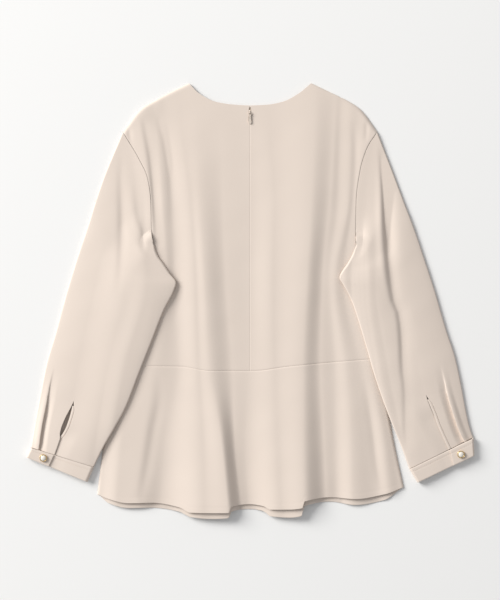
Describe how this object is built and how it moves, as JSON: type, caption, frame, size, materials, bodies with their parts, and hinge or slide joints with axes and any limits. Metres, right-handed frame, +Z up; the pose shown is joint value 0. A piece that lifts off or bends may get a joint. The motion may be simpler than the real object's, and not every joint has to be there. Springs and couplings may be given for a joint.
{
  "type": "peplum top",
  "caption": "Long-sleeved collarless top with a flared peplum, a back zip and buttoned cuffs, laid flat with its back upwards.",
  "frame": {"origin": "middle of the outline seen from above, on the surface the garment lies on", "axes": "+X to the right as pictured, +Y towards the neck, +Z up out of the surface"},
  "size_m": [0.694, 0.6748, 0.016],
  "materials": {
    "cloth": "smooth beige woven crepe, matt",
    "cloth_under": "smooth beige woven crepe, matt",
    "tape": "fine woven tape",
    "zip_metal": "satin, beige lacquer",
    "gold": "polished",
    "pearl": "pearl gloss"
  },
  "bodies": {
    "garment": {"back_bodice_left": "cloth", "back_bodice_right": "cloth", "front_bodice": "cloth_under", "peplum_back": "cloth", "peplum_front": "cloth_under", "sleeve_left": "cloth", "sleeve_right": "cloth", "cuff_left": "cloth", "cuff_right": "cloth", "slit_binding_left": "cloth", "slit_binding_right": "cloth", "zip_tape": "tape", "zip_slider": "zip_metal", "button_rim_left": "gold", "button_rim_right": "gold", "button_pearl_left": "pearl", "button_pearl_right": "pearl"},
    "pull": {"zip_pull": "zip_metal"}
  },
  "joints": [
    {"name": "zip_pull_hinge", "type": "hinge", "parent": "garment", "child": "pull", "pos_m": [0, 0.2915, 0.005], "axis": [-1, 0, 0], "range_deg": [0, 170]}
  ]
}
